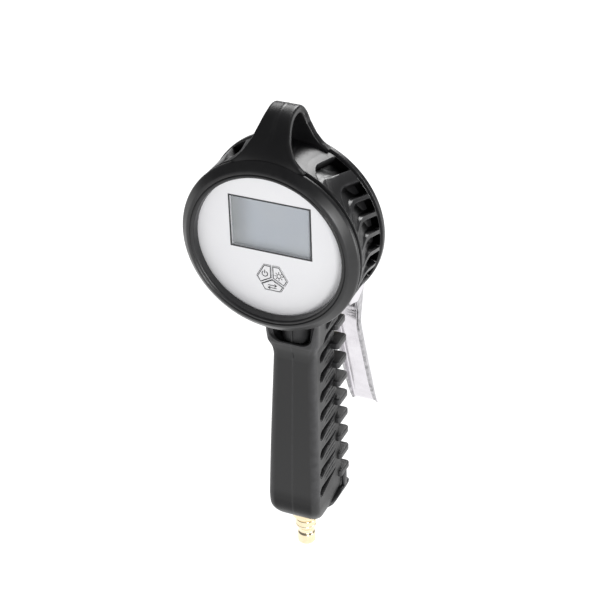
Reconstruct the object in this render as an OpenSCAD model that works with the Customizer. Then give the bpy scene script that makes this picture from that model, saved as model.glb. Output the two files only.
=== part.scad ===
// Tyre inflator with a digital gauge: a gauge head in a rubber boot on a pistol-shaped valve body,
// squeezed by a channel lever. +Z runs up the grip, the face looks along -Y, and the origin is the
// middle of the inlet plug's nose, on the plug's axis.

/* [Gauge] */
// Height of the face's centre above the origin
face_z = 214; // [205:1:225]
// Front of the face plate, along the face's own axis
face_y = -30; // [-32:0.5:-29]
// Radius of the boot's widest edge
boot_r = 49.4; // [49:0.1:50.5]
// Radius of the opening in the boot's front lip
lip_r = 41.2; // [40.5:0.1:42]
// Outer radius of the case
case_r = 45; // [44.5:0.1:45]
// Depth of the boot behind the face plate
boot_depth = 33; // [32:0.5:33]
// Number of ribs in a full turn of the boot
rib_steps = 30; // [24:1:32]
// Window width
window_w = 44.3; // [40:0.1:46]
// Window height
window_h = 29; // [26:0.1:30]
// Height of the window's middle above the face's centre
window_up = 10.8; // [10:0.1:12]

/* [Keys] */
// Distance of the keypad's middle below the face's centre
keypad_down = 19.5; // [19:0.1:22]
// Half width across the hexagonal keypad's corners
keypad_r = 9.1; // [8:0.1:10]
// Gap between a key and its opening
key_gap = 0.3; // [0.2:0.05:0.4]
// How far a key stands in front of the plate
key_proud = 0.3; // [0.2:0.1:0.6]

/* [Hook] */
// Height of the hook's top above the face's centre
hook_top = 71; // [68:0.5:73]
// Half width of the hook where it leaves the boot
hook_base_w = 19.5; // [18:0.5:22]
// Half width of the hook at its top
hook_top_w = 5.5; // [5:0.5:8]

/* [Valve body] */
// Height of the barrel's axis
barrel_z = 162; // [161:0.5:163]
// Radius of the barrel
barrel_r = 15; // [14:0.5:15.5]
// Far end of the barrel
barrel_end = 80.5; // [78:0.5:82]
// Radius of the core inside the grip
core_r = 10; // [9:0.5:10]
// Radius of the air passages
passage_r = 4; // [3:0.5:4.5]

/* [Inlet and outlet] */
// Radius of the plug's nose
nose_r = 5.15; // [5:0.05:5.3]
// Radius of the plug's collar
collar_r = 5.95; // [5.8:0.05:6.2]
// Radius of the inlet thread
thread_r = 6.55; // [6.5:0.05:6.6]
// Radius of the hose outlet's threaded hole
outlet_r = 5.72; // [5.6:0.01:5.9]

/* [Lever] */
// Distance of the pivot from the plug's axis
pivot_y = 66.5; // [66:0.5:67]
// Height of the pivot
pivot_z = 142; // [141.5:0.5:142]
// Half width of the lever's channel
lever_w = 8.2; // [8:0.1:8.5]
// Thickness of the lever's sheet
sheet = 1.8; // [1.5:0.1:2]
// Radius of the pivot pin
pin_r = 2.5; // [2:0.1:2.8]
// Radial clearance of the pin and the stem in their bores
running = 0.05; // [0.03:0.01:0.08]

/* [Grip] */
// Half width of the grip at the top
grip_top_w = 12.7; // [12:0.1:13]
// Half width of the grip at the bottom
grip_low_w = 15.4; // [15:0.1:15.8]
// Bottom of the grip
grip_low = 20.5; // [20:0.5:21]
// Number of finger fins
fin_count = 10; // [8:1:10]
// Distance from one fin to the next
fin_step = 12.5; // [12.4:0.1:12.6]
// Height of the lowest fin
fin_low = 26.4; // [26:0.1:27]
// Thickness of a fin
fin_t = 4; // [3:0.5:5]
// How far back the fins reach
fin_end = 25.5; // [25:0.5:27]
// Half width of a fin
fin_w = 17; // [16:0.5:18]

/* [Hidden] */
$fn = 64;
e = 0.01;
back_y = face_y + boot_depth;
case_wall = 2;
plate_t = 1.5;
plate_r = case_r - case_wall - 0.2;
barrel_start = 6;
stem_y = pivot_y - 10.5;
stem_r = 2.5;
pad_top = pivot_z - 9;
gland_low = pivot_z + 0.5;
seat_z = gland_low + 12;
boss_low = gland_low + 2.5;
sensor_z = face_z - 24;
sensor_r = 5;
lug_w = 5.6;
lug_r = 5.2;
grip_back = 19.5;
core_lean = 2.4;
key_turns = [60, 300, 180];
fin_start = 13.5;
slot_lean = 8;
slot_front = -11.2;
slot_shift = 1.5;
slot_in = 11;
slot_low = 34;
slot_step = 11.9;
slot_run = 17;
neck_top = face_z - boot_r - 1.2;
neck_r = 9.4;

// A cylinder along +Y from y0 to y1, about the axis x = 0, z = z
module rod_y(r, y0, y1, z) {
    translate([0, y0, z]) rotate([-90, 0, 0]) cylinder(r = r, h = y1 - y0);
}

// A profile of [radius, y] points turned about the face's axis
module turned_face(points) {
    translate([0, 0, face_z]) rotate([-90, 0, 0]) rotate_extrude() polygon(points);
}

// An outline of [y, z] points drawn out across X, centred
module across(points, w) {
    rotate([90, 0, 90]) translate([0, 0, -w]) linear_extrude(height = 2 * w) polygon(points);
}

// An outline of [x, z] points drawn out along Y
module along(points, y0, y1) {
    translate([0, y1, 0]) rotate([90, 0, 0]) linear_extrude(height = y1 - y0) polygon(points);
}

// ---- gauge head ----
function up(list) = [for (p = list) [p[0], p[1] + face_z]];

module hook() {
    outer = [[-33, 44], [-32.5, 47.5], [-16.5, 68], [-13.5, 70.3], [-9.5, hook_top],
        [-5.5, 70.6], [-2.2, 68.6], [0, 65.6], [0.9, 62], [0.9, 46], [0, 44]];
    bell = [[-hook_base_w - 1.5, 44], [-hook_base_w, 46], [-15.4, 51.5], [-12, 57.5],
        [-9.2, 63.5], [-7, 68], [-hook_top_w, hook_top - 1.2], [-hook_top_w + 2, hook_top + 1]];
    intersection() {
        difference() {
            across(up(outer), 30);
            across(up([[-24, 44], [-24, 50.5], [-13, 64.2], [-10.8, 66], [-8, 66.4],
                [-5.2, 64.8], [-3.7, 61.5], [-3.7, 44]]), 31);
        }
        union() {
            along(up(concat(bell, [[0, hook_top + 1], [0, 44]])), -40, 10);
            mirror([1, 0, 0]) along(up(concat(bell, [[0, hook_top + 1], [0, 44]])), -40, 10);
        }
    }
}

module boot() {
    crest_y = face_y - 6;
    color("#1d1d1f") difference() {
        union() {
            turned_face([[lip_r, crest_y + 1.2], [lip_r + 1.4, crest_y], [lip_r + 4.2, crest_y + 0.3],
                [boot_r, face_y - 1.6], [boot_r, face_y - 0.4], [47, face_y + 0.2],
                [47, face_y + 2.4], [49.1, face_y + 3], [49.1, back_y - 5.2], [47.8, back_y - 4.8],
                [47.8, back_y - 3.6], [49.6, back_y - 3.1], [49.6, back_y - 0.6],
                [49, back_y], [40, back_y], [40, back_y - 1.6], [case_r + 0.1, back_y - 1.6],
                [case_r + 0.1, face_y - 1.3], [lip_r - 0.6, face_y - 1.3]]);
            hook();
        }
        // recesses between the ribs, swept a little round the boot
        for (i = [0 : rib_steps - 1]) let (a = i * 360 / rib_steps)
            if (abs(a - 90) > 22 && abs(a - 270) > 20)
                translate([0, 0, face_z]) rotate([0, -a, 0])
                    translate([50, face_y + 16.2, 0]) rotate([14.6, 0, 0])
                        cube([6.6, 21, 5.8], center = true);
        // room for the back of the case
        rod_y(case_r + 0.1, face_y - 1.3, back_y - 1.6, face_z);
    }
}

module gauge_case() {
    color("#242426") difference() {
        union() {
            rod_y(case_r, face_y - 1.2, back_y - 1.7, face_z);
            rod_y(39.8, back_y - 2, back_y - 0.2, face_z);
        }
        rod_y(case_r - case_wall, face_y - 2, back_y - 4.2, face_z);
        translate([-28, back_y - 6, face_z - 9]) cube([56, 8, 36.6]);
        rod_y(sensor_r + 0.1, back_y - 6, back_y + 1, sensor_z);
    }
    // ledge that the face plate rests on
    color("#242426") difference() {
        rod_y(case_r - case_wall, face_y + plate_t, face_y + plate_t + 2, face_z);
        rod_y(case_r - case_wall - 1.8, face_y + plate_t - 1, face_y + plate_t + 3, face_z);
    }
}

// One third of the hexagonal keypad; turn points its middle away from straight up
module key_outline(turn, grow) {
    offset(delta = grow) intersection() {
        circle(r = keypad_r, $fn = 6);
        rotate(turn) polygon([[0.3, 0.5], [20, 12], [20, 30], [-20, 30], [-20, 12], [-0.3, 0.5]]);
    }
}

module key(turn) {
    translate([0, face_y + plate_t + 0.2, face_z - keypad_down]) rotate([90, 0, 0])
        linear_extrude(height = plate_t + 0.2 + key_proud) key_outline(turn, -key_gap);
}

module face_plate() {
    color("#f2f2f0") difference() {
        rod_y(plate_r, face_y, face_y + plate_t, face_z);
        translate([-window_w / 2, face_y - 1, face_z + window_up - window_h / 2])
            cube([window_w, plate_t + 2, window_h]);
        for (turn = key_turns)
            translate([0, face_y + plate_t + 1, face_z - keypad_down]) rotate([90, 0, 0])
                linear_extrude(height = plate_t + 2) key_outline(turn, 0);
    }
}

module lcd_window() {
    color("#9aa4aa", 0.6) translate([-window_w / 2 + 0.1, face_y + 0.3, face_z + window_up - window_h / 2 + 0.1])
        cube([window_w - 0.2, 1.1, window_h - 0.2]);
}

module lcd_frame() {
    color("#303236") translate([0, face_y + plate_t + 0.1, face_z + window_up]) difference() {
        translate([-26, 0, -17]) cube([52, 3.6, 34]);
        translate([-window_w / 2 - 0.5, -1, -window_h / 2 - 0.5]) cube([window_w + 1, 6, window_h + 1]);
    }
}

module lcd_panel() {
    color("#8d989d") translate([-window_w / 2 - 0.3, face_y + plate_t + 0.2, face_z + window_up - window_h / 2 - 0.3])
        cube([window_w + 0.6, 2.8, window_h + 0.6]);
}

module key_power() { color("#e6e6e4") key(key_turns[0]); }
module key_light() { color("#e6e6e4") key(key_turns[1]); }
module key_unit() { color("#e6e6e4") key(key_turns[2]); }

board_y = face_y + 7.5;

module key_switches() {
    color("#b9bcc0") for (turn = key_turns)
        translate([-4.6 * sin(turn), 0, face_z - keypad_down + 4.6 * cos(turn)]) {
            translate([-2.2, board_y - 1.8, -2.2]) cube([4.4, 1.8, 4.4]);
            rod_y(1.2, face_y + plate_t + 0.9, board_y - 1.7, 0);
        }
}

module circuit_board() {
    color("#1f5a35") difference() {
        rod_y(40.5, board_y, board_y + 1.6, face_z);
        rod_y(9, board_y - 1, board_y + 3, sensor_z);
    }
}

module battery_cells() {
    color("#b7a15e") for (s = [0, 1])
        translate([-25, back_y - 11.5, face_z + 1.8 + s * 15.8]) rotate([0, 90, 0]) {
            cylinder(r = 7.1, h = 49);
            translate([0, 0, 49 - e]) cylinder(r = 2.6, h = 1.2);
        }
}

module battery_cover() {
    color("#2b2b2d") {
        translate([-27.8, back_y - 2.4, face_z - 8.8]) cube([55.6, 2.2, 36.2]);
        for (i = [0 : 5]) translate([-12, back_y - 0.3, face_z + 2 + i * 3.6]) cube([24, 0.9, 1.4]);
    }
}

module cover_screws() {
    color("#a9abae") for (s = [-1, 1]) translate([s * 25, 0, face_z + 10]) difference() {
        rod_y(2.4, back_y - 0.2, back_y + 1.1, 0);
        translate([-0.4, back_y + 0.4, -1.8]) cube([0.8, 1, 3.6]);
        translate([-1.8, back_y + 0.4, -0.4]) cube([3.6, 1, 0.8]);
    }
}

module pressure_sensor() {
    color("#c9a545") difference() {
        union() {
            translate([0, back_y - 12, sensor_z]) rotate([-90, 0, 0]) cylinder(r = 8.5, h = 7.7, $fn = 6);
            rod_y(sensor_r, back_y - 4.4, back_y + 9, sensor_z);
        }
        rod_y(1.5, back_y - 8, back_y + 10, sensor_z);
    }
}

module sensor_seal() {
    color("#111111") translate([0, back_y + 0.5, sensor_z]) rotate([-90, 0, 0])
        rotate_extrude() translate([6.6, 0]) circle(r = 0.65);
}

// ---- valve body ----
// The core inside the grip leans back with the grip's front
module core(r) {
    translate([0, 0, grip_low + 4]) rotate([-core_lean, 0, 0]) cylinder(r = r, h = 106.6);
}

// The neck between the grip and the gauge, rounded at the front and back
module neck(r, z0, z1) {
    translate([0, 0, z0]) linear_extrude(height = z1 - z0) {
        circle(r = r);
        translate([0, 7]) circle(r = r);
        translate([-r, 0]) square([2 * r, 7]);
    }
}

module valve_body() {
    boss_y = back_y + 1.2;
    color("#2c2d30") difference() {
        union() {
            rod_y(barrel_r, barrel_start, barrel_end, barrel_z);
            rod_y(barrel_r + 1.2, barrel_end - 12, barrel_end - 7.5, barrel_z);
            // tower that carries the gauge
            translate([0, boss_y + 12, sensor_z]) rotate([90, 0, 0]) linear_extrude(height = 12) {
                circle(r = 11);
                translate([-11, barrel_z - sensor_z]) square([22, sensor_z - barrel_z]);
            }
            neck(neck_r, 128, neck_top);
            core(core_r);
            // casting seam down the front of the neck
            translate([-0.5, -neck_r - 0.6, 132]) cube([1, 6, neck_top - 133]);
            // lug for the pivot pin
            translate([-lug_w, pivot_y, pivot_z]) rotate([90, 0, 90]) linear_extrude(height = 2 * lug_w) {
                circle(r = lug_r);
                translate([-lug_r, 0]) square([2 * lug_r, 11]);
            }
            // boss for the valve gland
            translate([0, stem_y, boss_low]) cylinder(r = 8, h = 12);
        }
        // flat seat for the plug's washer
        translate([-15, -15, grip_low]) cube([30, 30, 4.6]);
        // air passages
        translate([0, 0, grip_low + 14]) cylinder(r = passage_r, h = barrel_z - grip_low - 12.5);
        rod_y(passage_r + 0.5, -5, barrel_end - 13, barrel_z);
        rod_y(1.6, back_y + 5, back_y + 10.5, sensor_z);
        translate([0, back_y + 9.5, barrel_z]) cylinder(r = 2.2, h = sensor_z - barrel_z + 2.6);
        // threaded sockets of the plug, the outlet and the sensor
        translate([0, 0, grip_low]) cylinder(r = thread_r, h = 15);
        rod_y(8, barrel_end - 14, barrel_end + 1, barrel_z);
        rod_y(sensor_r, boss_y - 1, back_y + 9.2, sensor_z);
        // room for the gland's hexagon, valve chamber and pin bore
        translate([0, stem_y, gland_low - 1]) cylinder(r = 6.9, h = 3.8);
        translate([0, stem_y, boss_low - 1]) cylinder(r = 5.4, h = 23);
        translate([-lug_w - 1, pivot_y, pivot_z]) rotate([0, 90, 0])
            cylinder(r = pin_r + running, h = 2 * lug_w + 2);
    }
}

module barrel_collar() {
    color("#8a8c90") difference() {
        rod_y(barrel_r + 0.9, barrel_end - 6.5, barrel_end - 3.5, barrel_z);
        rod_y(barrel_r + 0.05, barrel_end - 7, barrel_end - 3, barrel_z);
    }
}

module hose_outlet() {
    color("#c9a545") difference() {
        union() {
            rod_y(7.95, barrel_end - 12.5, barrel_end + 1, barrel_z);
            translate([0, barrel_end + 1, barrel_z]) rotate([-90, 0, 0]) cylinder(r = 9.8, h = 3.4, $fn = 6);
        }
        rod_y(outlet_r, barrel_end - 8, barrel_end + 6, barrel_z);
        rod_y(passage_r, barrel_end - 14, barrel_end - 7, barrel_z);
    }
}

module outlet_seal() {
    color("#b5482f") difference() {
        rod_y(10.2, barrel_end + 0.05, barrel_end + 0.95, barrel_z);
        rod_y(8, barrel_end - 1, barrel_end + 2, barrel_z);
    }
}

module inlet_plug() {
    color("#d8b65a") difference() {
        rotate_extrude() polygon([[0, -3], [nose_r - 0.6, -3], [nose_r, -2.3], [nose_r, 3.2],
            [nose_r - 1, 4.2], [nose_r - 1, 6.4], [nose_r - 0.3, 7.4], [collar_r, 8.4],
            [collar_r, 13.4], [collar_r - 1.1, 13.9], [collar_r - 1.1, 14.6], [collar_r + 0.4, 15.2],
            [collar_r + 0.4, 17], [6.8, 17.2], [7.6, 17.6], [7.6, grip_low + 3.6],
            [thread_r - 0.05, grip_low + 3.6], [thread_r - 0.05, grip_low + 12.6], [0, grip_low + 12.6]]);
        translate([0, 0, -4]) cylinder(r = 3.4, h = grip_low + 18);
    }
}

module plug_seal() {
    color("#b5482f") translate([0, 0, grip_low + 3.7]) difference() {
        cylinder(r = 8.6, h = 0.85);
        translate([0, 0, -1]) cylinder(r = 6.7, h = 3);
    }
}

module inlet_screen() {
    color("#c8c9cb") translate([0, 0, grip_low + 6]) difference() {
        cylinder(r = 3.35, h = 5);
        translate([0, 0, -e]) cylinder(r = 2.6, h = 4.4);
    }
}

module valve_gland() {
    color("#c9a545") difference() {
        union() {
            translate([0, stem_y, gland_low]) cylinder(r = 6.6, h = 2.4, $fn = 6);
            translate([0, stem_y, gland_low + 2]) cylinder(r = 5.35, h = seat_z - gland_low - 2);
        }
        translate([0, stem_y, gland_low - 1]) cylinder(r = stem_r + running, h = 20);
        translate([0, stem_y, gland_low + 5]) cylinder(r = 3.9, h = 2);
    }
}

module gland_seal() {
    color("#111111") translate([0, stem_y, gland_low + 6]) rotate_extrude() translate([3.22, 0])
        circle(r = 0.66);
}

module valve_stem() {
    tip = pad_top + 0.2;
    color("#d8b65a") translate([0, stem_y, 0]) {
        translate([0, 0, tip + stem_r]) sphere(r = stem_r);
        translate([0, 0, tip + stem_r]) cylinder(r = stem_r, h = seat_z - tip - stem_r + 4.4);
        translate([0, 0, tip + 2]) cylinder(r = 4.1, h = 1.3);
        translate([0, 0, seat_z + 1.5]) cylinder(r = 4.4, h = 1.8);
    }
}

module poppet_seal() {
    color("#111111") translate([0, stem_y, seat_z + 0.05]) difference() {
        cylinder(r = 4.3, h = 1.4);
        translate([0, 0, -1]) cylinder(r = stem_r + 0.02, h = 4);
    }
}

// A round wire of radius w wound with radius r from z0 to z1
module coil(r, w, z0, z1, turns) {
    steps = 12 * turns;
    sides = 6;
    rings = [for (i = [0 : steps]) let (a = 30 * i, h = z0 + (z1 - z0) * i / steps)
        for (k = [0 : sides - 1]) let (b = 360 * k / sides)
            [(r + w * cos(b)) * cos(a), (r + w * cos(b)) * sin(a), h + w * sin(b)]];
    ends = [[for (k = [0 : sides - 1]) k], [for (k = [sides - 1 : -1 : 0]) steps * sides + k]];
    walls = [for (i = [0 : steps - 1]) for (k = [0 : sides - 1])
        let (a = i * sides + k, b = i * sides + (k + 1) % sides) [a, a + sides, b + sides, b]];
    polyhedron(points = rings, faces = concat(ends, walls));
}

module stem_spring() {
    color("#c4c6c9") translate([0, stem_y, 0])
        coil(3.45, 0.4, pad_top + 3.98, gland_low - 0.48, 3);
}

// ---- lever ----
tip_y = 92.6;
tip_z = 34.5;
bend_y = 68.4;
bend_z = 111;
top_y = 73.4;
top_z = 133.5;

module trigger_lever() {
    side = [[top_y, top_z], [bend_y, bend_z], [tip_y, tip_z], [tip_y - 3.4, tip_z + 0.6],
        [tip_y - 5.2, tip_z + 4], [bend_y - 5.8, bend_z + 3], [bend_y - 4.6, bend_z + 12],
        [pivot_y - 6, pad_top - 4.6], [pivot_y - 15.5, pad_top - 2.6], [pivot_y - 15.5, pad_top + 1.4],
        [pivot_y - 5.4, pivot_z - 1], [pivot_y - 4.2, pivot_z + 3.2], [pivot_y, pivot_z + 5.3],
        [pivot_y + 4.2, pivot_z + 3.2], [pivot_y + 5.4, pivot_z - 1]];
    web = [[top_y, top_z], [bend_y, bend_z], [tip_y, tip_z], [tip_y + 1, tip_z - 0.9],
        [tip_y - 0.4, tip_z - 2], [tip_y - sheet, tip_z - 0.4], [bend_y - sheet, bend_z],
        [top_y - sheet, top_z + 0.4]];
    color("#d9dbde") difference() {
        union() {
            for (s = [-1, 1]) translate([s * (lever_w - sheet / 2), 0, 0]) across(side, sheet / 2);
            across(web, lever_w);
            // pad that lifts the stem
            translate([-lever_w, pivot_y - 15.5, pad_top - sheet]) cube([2 * lever_w, 10, sheet]);
        }
        translate([-20, pivot_y, pivot_z]) rotate([0, 90, 0]) cylinder(r = pin_r, h = 40);
    }
}

module lever_pin() {
    color("#b7babd") translate([-lever_w - 1.6, pivot_y, pivot_z]) rotate([0, 90, 0]) {
        cylinder(r = 4, h = 1.5);
        cylinder(r = pin_r, h = 2 * lever_w + 4);
    }
}

module pin_clip() {
    color("#55585c") translate([lever_w + 0.1, pivot_y, pivot_z]) rotate([0, 90, 0]) difference() {
        cylinder(r = 4.4, h = 0.9);
        translate([0, 0, -1]) cylinder(r = pin_r, h = 3);
        translate([-8, -1.6, -1]) cube([8, 3.2, 3]);
    }
}

// ---- grip ----
// A rounded slice of the grip: front and back faces and half width, at one height
module slice(front, back, w, z, r = 6) {
    translate([0, 0, z]) linear_extrude(height = 0.2) offset(r = r, $fn = 24)
        translate([-w + r, front + r]) square([2 * w - 2 * r, back - front - 2 * r]);
}

// A fin: a plate with rounded ends that stands out at both sides and behind the grip
module fin(z, t) {
    r = 4.5;
    translate([0, 0, z]) linear_extrude(height = t) {
        for (s = [-1, 1]) translate([s * (fin_w - r), fin_end - r]) circle(r = r);
        translate([-fin_w + r, fin_start]) square([2 * (fin_w - r), fin_end - fin_start]);
        translate([-fin_w, fin_start + 3]) square([2 * fin_w, fin_end - r - fin_start - 3]);
    }
}

module grip_sleeve() {
    color("#202022") difference() {
        union() {
            hull() {
                slice(-9.4, 13, 10.5, grip_low + 2.5);
                slice(-14.6, 17, grip_low_w - 1, grip_low + 7);
                slice(-17, grip_back, grip_low_w, grip_low + 16);
                slice(-9.5, grip_back, grip_top_w, 131);
            }
            // collar that opens round the neck
            hull() {
                slice(-9.9, grip_back, grip_top_w, 126);
                slice(-11.8, grip_back + 1, 15.2, 143);
                slice(-12.6, grip_back + 1, 16, 158);
            }
            for (i = [0 : fin_count - 1]) fin(fin_low + i * fin_step, fin_t);
            // heel under the lowest fin, and the straps that close the lowest gap
            hull() {
                translate([-fin_w + 3, fin_start + 4, fin_low - 1]) cube([2 * fin_w - 6, 7, 1.1]);
                translate([-11, fin_start, grip_low + 0.5]) cube([22, 5, 1]);
            }
            for (s = [-1, 1]) translate([s * (fin_w - 1), fin_end - 6, fin_low + fin_step / 2 + 2])
                cube([2, 4, fin_step], center = true);
        }
        // room for the core and the neck
        core(core_r + 0.05);
        translate([0, 0, grip_low - 1]) cylinder(r = 9.2, h = 7);
        neck(neck_r + 0.2, 127.8, 142);
        rod_y(barrel_r + 0.3, barrel_start - 0.3, grip_back + 5, barrel_z);
        translate([-12.8, -9.8, 141]) cube([25.6, grip_back + 7.6, 30]);
        // scooped mouth at the front
        hull() {
            translate([-6, -20, 149]) rotate([-90, 0, 0]) cylinder(r = 7, h = 22, $fn = 32);
            translate([6, -20, 149]) rotate([-90, 0, 0]) cylinder(r = 7, h = 22, $fn = 32);
            translate([-13, -20, 165]) cube([26, 22, 4]);
        }
        // side slots, round at the front and narrowing up to a fin
        for (i = [1 : fin_count - 1]) for (s = [-1, 1])
            translate([s * slot_in, slot_front + i * slot_shift, slot_low + i * slot_step])
                rotate([slot_lean, 0, 0]) {
                    rotate([0, 90 * s, 0]) cylinder(r = 1.9, h = 12);
                    translate([s > 0 ? 0 : -12, 0, -0.9]) cube([12, slot_run, 1.8]);
                }
    }
}

boot();
gauge_case();
face_plate();
lcd_window();
lcd_frame();
lcd_panel();
key_power();
key_light();
key_unit();
key_switches();
circuit_board();
battery_cells();
battery_cover();
cover_screws();
pressure_sensor();
sensor_seal();
valve_body();
barrel_collar();
hose_outlet();
outlet_seal();
inlet_plug();
plug_seal();
inlet_screen();
valve_gland();
gland_seal();
valve_stem();
poppet_seal();
stem_spring();
trigger_lever();
lever_pin();
pin_clip();
grip_sleeve();
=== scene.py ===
import math

import bmesh
import bpy
import numpy as np
from mathutils import Matrix, Vector


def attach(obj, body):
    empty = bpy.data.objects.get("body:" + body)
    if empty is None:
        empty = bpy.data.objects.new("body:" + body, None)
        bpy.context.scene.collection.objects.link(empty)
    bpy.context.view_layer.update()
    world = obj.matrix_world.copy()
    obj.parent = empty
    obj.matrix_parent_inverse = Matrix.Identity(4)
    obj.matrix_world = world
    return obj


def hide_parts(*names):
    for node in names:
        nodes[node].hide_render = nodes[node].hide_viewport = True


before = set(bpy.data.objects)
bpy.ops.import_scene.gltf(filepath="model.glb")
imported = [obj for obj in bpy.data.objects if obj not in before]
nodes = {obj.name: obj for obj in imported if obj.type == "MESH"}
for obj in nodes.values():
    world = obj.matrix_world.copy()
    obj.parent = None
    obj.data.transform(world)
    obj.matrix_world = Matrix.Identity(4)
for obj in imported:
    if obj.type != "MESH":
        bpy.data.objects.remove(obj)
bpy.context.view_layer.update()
print("frame loaded:", len(nodes), "nodes")

mm = 0.001
faceZ = 214.0  # height of the gauge face's centre, mm
faceY = -30.0  # front of the face plate, mm


# 0 below 0, 1 above 1, and an S-shaped rise between them: 3x^2 - 2x^3
def ease(x):
    x = np.clip(x, 0.0, 1.0)
    return x * x * (3.0 - 2.0 * x)


# A smooth line through points: each span is a cubic whose end slopes come from its neighbours
def throughPoints(points, count):
    p = np.asarray(points, float)
    p = np.vstack([2 * p[0] - p[1], p, 2 * p[-1] - p[-2]])
    t = np.linspace(0, len(p) - 3, count)
    i = np.minimum(t.astype(int), len(p) - 4)
    f = (t - i)[:, None]
    a, b, c, d = p[i], p[i + 1], p[i + 2], p[i + 3]
    return 0.5 * (2 * b + (c - a) * f + (2 * a - 5 * b + 4 * c - d) * f**2 + (3 * b - a - 3 * c + d) * f**3)


# A closed outline with its corners cut back and bent: each corner becomes a quadratic curve
def softCorners(points, cuts, steps=6):
    p = np.asarray(points, float)
    toLast, toNext = np.roll(p, 1, 0) - p, np.roll(p, -1, 0) - p
    lengthLast, lengthNext = np.linalg.norm(toLast, axis=1), np.linalg.norm(toNext, axis=1)
    cut = np.minimum(np.broadcast_to(cuts, len(p)), 0.49 * np.minimum(lengthLast, lengthNext))
    first = p + toLast * (cut / lengthLast)[:, None]
    last = p + toNext * (cut / lengthNext)[:, None]
    t = np.linspace(0, 1, steps)[None, :, None]
    bend = (1 - t) ** 2 * first[:, None] + 2 * t * (1 - t) * p[:, None] + t**2 * last[:, None]
    return bend.reshape(-1, 2)


# A closed line with points added evenly in each span, so that no gap is over gapAt(its middle)
def fillIn(line, gapAt):
    line = np.vstack([line, line[:1]])
    step = np.linalg.norm(np.diff(line, axis=0), axis=1)
    line = line[np.r_[True, step > 1e-5]]
    step = step[step > 1e-5]
    count = np.ceil(step / gapAt((line[1:] + line[:-1]) / 2)).astype(int)
    along = np.r_[0, np.cumsum(step)]
    inSpan = np.arange(count.sum()) - np.repeat(np.cumsum(count) - count, count)
    where = np.repeat(along[:-1], count) + inSpan * np.repeat(step / count, count)
    return np.stack([np.interp(where, along, line[:, k]) for k in range(line.shape[1])], 1)


# Four-cornered faces between neighbouring rows and columns of a grid
def gridFaces(rows, cols, wrapRows=False, wrapCols=True):
    r = np.arange(rows if wrapRows else rows - 1)
    c = np.arange(cols if wrapCols else cols - 1)
    r, c = np.meshgrid(r, c, indexing="ij")
    r2, c2 = (r + 1) % rows, (c + 1) % cols
    return np.stack([r * cols + c, r * cols + c2, r2 * cols + c2, r2 * cols + c], -1).reshape(-1, 4)


# How sharply a grid stands out at each point: the distance from its neighbours' average, along
# the normal, over their spacing, then averaged twice with the neighbours
def proudEdges(grid, wrapRows, wrapCols, outward, gain=2.2):
    def shifted(a, axis, by, wrap):
        moved = np.roll(a, by, axis)
        if not wrap:
            index = [slice(None)] * a.ndim
            index[axis] = 0 if by > 0 else -1
            moved[tuple(index)] = a[tuple(index)]
        return moved

    up, down = shifted(grid, 0, 1, wrapRows), shifted(grid, 0, -1, wrapRows)
    left, right = shifted(grid, 1, 1, wrapCols), shifted(grid, 1, -1, wrapCols)
    normal = np.cross(right - left, down - up)
    normal /= np.maximum(np.linalg.norm(normal, axis=-1, keepdims=True), 1e-9)
    flat = np.linalg.norm(up - down, axis=-1) + np.linalg.norm(left - right, axis=-1)
    bulge = ((grid - (up + down + left + right) / 4) * normal).sum(-1) * outward / np.maximum(flat / 4, 0.15)
    edge = np.clip(bulge * gain * 4, 0, 1)
    for _ in range(2):
        edge = (
            2 * edge
            + shifted(edge, 0, 1, wrapRows)
            + shifted(edge, 0, -1, wrapRows)
            + shifted(edge, 1, 1, wrapCols)
            + shifted(edge, 1, -1, wrapCols)
        ) / 6
    return edge


# A mesh from parts of (points in mm, faces, edge values), welded, with its normals outward.
# Edge values: above zero brings in the finish's edge colour on proud edges (a painted highlight on rubber, a
# painted dark reflection on chrome, a paler brass on brass); below zero marks painted shade
def putPiece(name, parts, material, body, stands=(), angle=35):
    points, faces, edges, start = [], [], [], 0
    for part in parts:
        pts = np.asarray(part[0], float).reshape(-1, 3)
        points.append(pts)
        faces.append(np.asarray(part[1]) + start)
        edges.append(np.zeros(len(pts)) if len(part) < 3 else np.asarray(part[2]).reshape(-1))
        start += len(pts)
    points, faces, edges = np.vstack(points) * mm, np.vstack(faces), np.concatenate(edges)
    mesh = bpy.data.meshes.new(name)
    mesh.vertices.add(len(points))
    mesh.vertices.foreach_set("co", points.ravel())
    mesh.loops.add(faces.size)
    mesh.loops.foreach_set("vertex_index", faces.ravel().astype(np.int32))
    mesh.polygons.add(len(faces))
    mesh.polygons.foreach_set("loop_start", np.arange(0, faces.size, 4, dtype=np.int32))
    mesh.update(calc_edges=True)
    mesh.attributes.new("edge", "FLOAT", "POINT").data.foreach_set("value", edges)
    work = bmesh.new()
    work.from_mesh(mesh)
    bmesh.ops.remove_doubles(work, verts=work.verts, dist=3e-6)
    bmesh.ops.dissolve_degenerate(work, edges=work.edges, dist=1e-7)
    bmesh.ops.recalc_face_normals(work, faces=work.faces)
    work.to_mesh(mesh)
    work.free()
    mesh.polygons.foreach_set("use_smooth", np.ones(len(mesh.polygons), bool))
    mesh.set_sharp_from_angle(angle=math.radians(angle))
    piece = bpy.data.objects.new(name, mesh)
    bpy.context.scene.collection.objects.link(piece)
    mesh.materials.append(material)
    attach(piece, body)
    if stands:
        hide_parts(*stands)
    print(name, len(mesh.polygons), "faces")
    return piece


view = {
    "place": (0.37419, -0.79275, 0.72540),
    "right": (0.91260708, 0.40768353, -0.03069961),
    "up": (-0.19668421, 0.50362827, 0.84123355),
    "back": (0.35841826, -0.76167756, 0.53979963),
    "lens": 116.97,
}


def addCamera(v):
    data = bpy.data.cameras.new("camera")
    data.lens, data.sensor_width = v["lens"], 36.0
    camera = bpy.data.objects.new("camera", data)
    bpy.context.scene.collection.objects.link(camera)
    turn = Matrix((v["right"], v["up"], v["back"])).transposed().to_4x4()
    camera.matrix_world = Matrix.Translation(v["place"]) @ turn
    bpy.context.scene.camera = camera


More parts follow.
